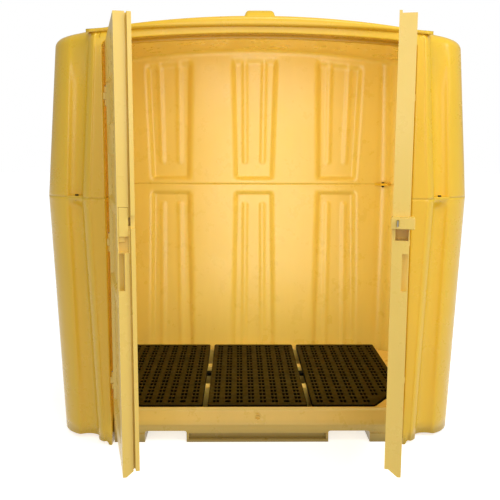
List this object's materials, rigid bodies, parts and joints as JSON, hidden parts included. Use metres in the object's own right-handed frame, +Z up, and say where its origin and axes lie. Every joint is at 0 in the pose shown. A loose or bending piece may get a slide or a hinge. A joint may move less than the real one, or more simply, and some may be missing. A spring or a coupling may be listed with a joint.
{
  "type": "covered spill containment pallet",
  "caption": "Walk-in moulded hard-top hut with swing doors over a drain sump with lift-out grates and fork channels.",
  "frame": {"origin": "on the floor, centre of the underside of the middle foot", "axes": "+X to the right seen from the doorway, +Y towards the back wall, +Z up"},
  "size_m": [2.106, 1.9697, 2.09],
  "materials": {
    "shell_plastic": "semi-gloss rotomoulded polyethylene, slightly translucent",
    "sump_plastic": "semi-gloss rotomoulded polyethylene",
    "door_plastic": "semi-gloss rotomoulded polyethylene, paler on its edges",
    "grate_plastic": "dark olive moulded polyethylene",
    "plug_plastic": "satin moulded",
    "black_steel": "black oxide",
    "bright_steel": "zinc plated"
  },
  "bodies": {
    "root": {"sump_tray": "sump_plastic", "foot_left": "sump_plastic", "foot_middle": "sump_plastic", "foot_right": "sump_plastic", "lower_shell": "shell_plastic", "upper_shell": "shell_plastic", "seam_bolt_front_right": "black_steel", "seam_nut_front_right": "black_steel", "seam_bolt_back_right": "black_steel", "seam_nut_back_right": "black_steel", "seam_bolt_front_left": "black_steel", "seam_nut_front_left": "black_steel", "seam_bolt_back_left": "black_steel", "seam_nut_back_left": "black_steel", "left_jamb_lug_bottom": "door_plastic", "left_hinge_pin_bottom": "bright_steel", "left_jamb_lug_middle": "door_plastic", "left_hinge_pin_middle": "bright_steel", "left_jamb_lug_top": "door_plastic", "left_hinge_pin_top": "bright_steel", "right_jamb_lug_bottom": "door_plastic", "right_hinge_pin_bottom": "bright_steel", "right_jamb_lug_middle": "door_plastic", "right_hinge_pin_middle": "bright_steel", "right_jamb_lug_top": "door_plastic", "right_hinge_pin_top": "bright_steel"},
    "left_leaf": {"left_door": "door_plastic", "keeper": "door_plastic"},
    "right_leaf": {"right_door": "door_plastic"},
    "latch": {"latch_bar": "door_plastic", "latch_tongue": "bright_steel"},
    "deck_left": {"grate_left": "grate_plastic"},
    "deck_middle": {"grate_middle": "grate_plastic"},
    "deck_right": {"grate_right": "grate_plastic"},
    "plug": {"drain_plug": "door_plastic"}
  },
  "joints": [
    {"name": "left_door_hinge", "type": "hinge", "parent": "root", "child": "left_leaf", "pos_m": [-0.699, -0.62, 0], "axis": [0, 0, 1], "range_deg": [-92, 77.3]},
    {"name": "right_door_hinge", "type": "hinge", "parent": "root", "child": "right_leaf", "pos_m": [0.699, -0.62, 0], "axis": [0, 0, -1], "range_deg": [-92, 77.3]},
    {"name": "latch_slide", "type": "slide", "parent": "right_leaf", "child": "latch", "axis": [-0.2198, -0.9755, 0], "range_m": [-0.045, 0]},
    {"name": "left_grate_lift", "type": "slide", "parent": "root", "child": "deck_left", "axis": [0, 0, 1], "range_m": [0, 0.3]},
    {"name": "middle_grate_lift", "type": "slide", "parent": "root", "child": "deck_middle", "axis": [0, 0, 1], "range_m": [0, 0.3]},
    {"name": "right_grate_lift", "type": "slide", "parent": "root", "child": "deck_right", "axis": [0, 0, 1], "range_m": [0, 0.3]},
    {"name": "drain_plug_pull", "type": "slide", "parent": "root", "child": "plug", "axis": [0, -1, 0], "range_m": [0, 0.08]}
  ]
}
